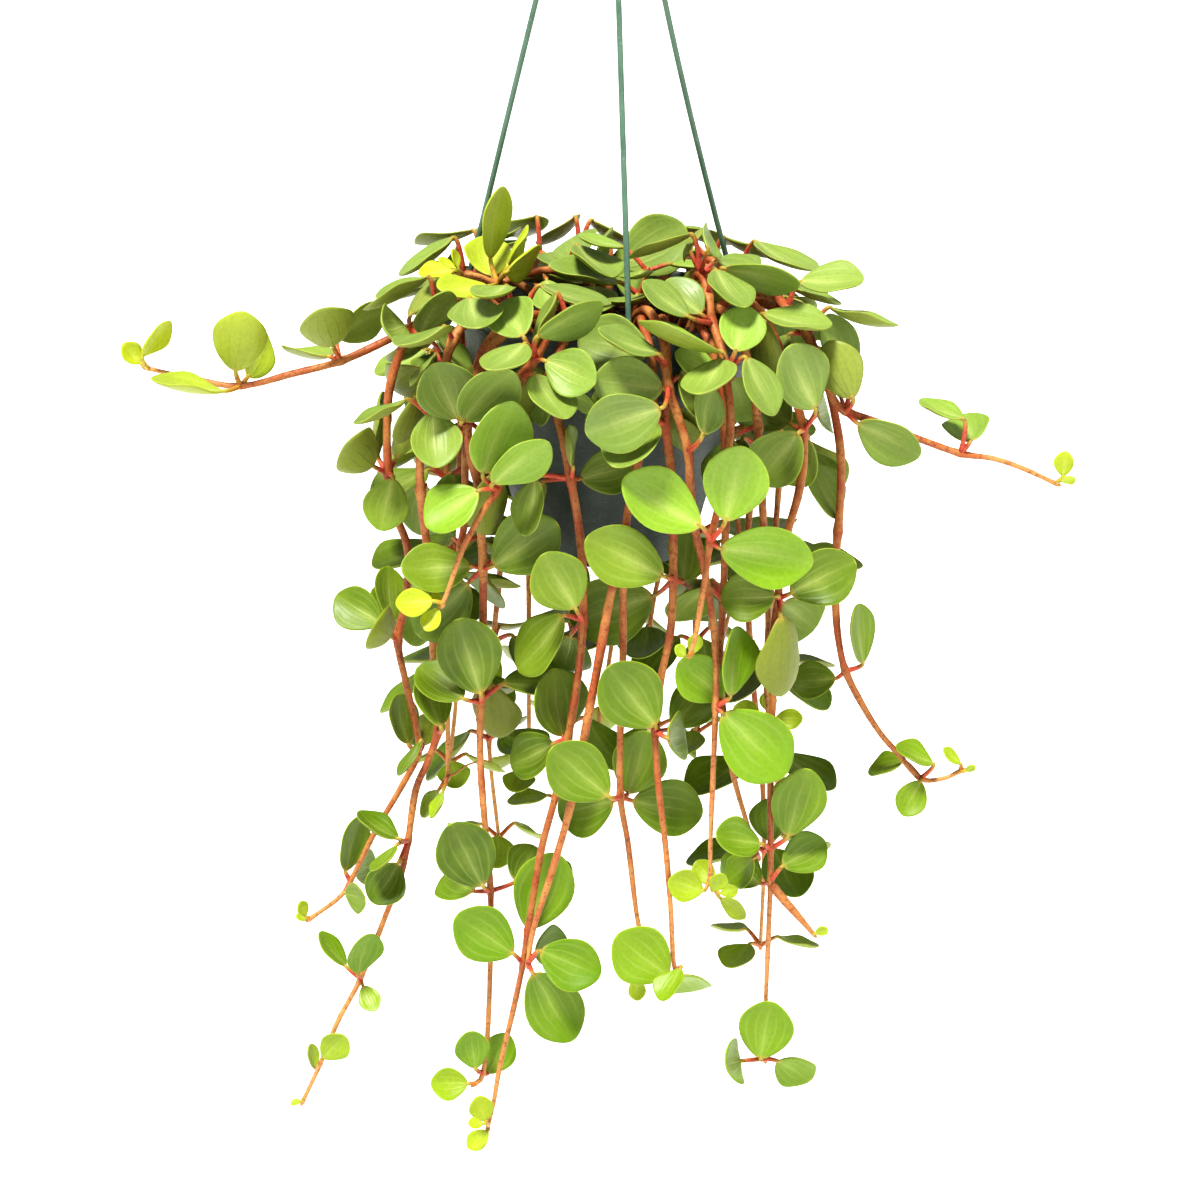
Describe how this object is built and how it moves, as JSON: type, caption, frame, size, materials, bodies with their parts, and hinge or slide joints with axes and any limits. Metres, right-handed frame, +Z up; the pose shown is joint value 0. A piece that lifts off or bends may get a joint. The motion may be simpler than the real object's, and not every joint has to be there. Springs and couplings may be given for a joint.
{
  "type": "potted trailing plant",
  "caption": "Potted hope peperomia: round fleshy leaves in whorls on long trailing stems, in a dark plastic hanging pot with a stranded hanger and hook.",
  "frame": {"origin": "inner top of the hook's bend, where the hanger hangs from its support", "axes": "+Z up, +X to the right and -Y towards the viewer in the front view; the pot's axis is the Z axis"},
  "size_m": [0.3751, 0.2131, 0.5948],
  "materials": {
    "leafy_stem": "satin green leaves with pale veins on orange-tan stems",
    "pot": "dark slate grey-green moulded plastic, softly satin",
    "soil": "dark crumbly potting mix",
    "hanger": "dark green-grey moulded plastic with a slight sheen"
  },
  "bodies": {
    "root": {"arching_stem": "leafy_stem", "left_reaching_stem": "leafy_stem", "left_hanging_stem": "leafy_stem", "left_long_stem": "leafy_stem", "left_bare_stem": "leafy_stem", "left_front_stem": "leafy_stem", "forked_front_stem": "leafy_stem", "pot_front_stem": "leafy_stem", "centre_stem": "leafy_stem", "centre_right_stem": "leafy_stem", "crown_stem": "leafy_stem", "right_front_stem": "leafy_stem", "young_tip_stem": "leafy_stem", "right_long_stem": "leafy_stem", "right_thin_stem": "leafy_stem", "right_reaching_stem": "leafy_stem", "hidden_right_stem": "leafy_stem", "far_stem_1": "leafy_stem", "far_stem_2": "leafy_stem", "far_stem_3": "leafy_stem", "far_stem_4": "leafy_stem", "far_stem_5": "leafy_stem", "far_stem_6": "leafy_stem", "far_stem_7": "leafy_stem", "far_stem_8": "leafy_stem", "far_stem_9": "leafy_stem", "far_stem_10": "leafy_stem", "far_stem_11": "leafy_stem", "crown_shoot_1": "leafy_stem", "crown_shoot_2": "leafy_stem", "crown_shoot_3": "leafy_stem", "crown_shoot_4": "leafy_stem", "pot": "pot", "soil": "soil", "hanger_hook": "hanger", "hanger_strand_1": "hanger", "hanger_strand_2": "hanger", "hanger_strand_3": "hanger"}
  },
  "joints": []
}
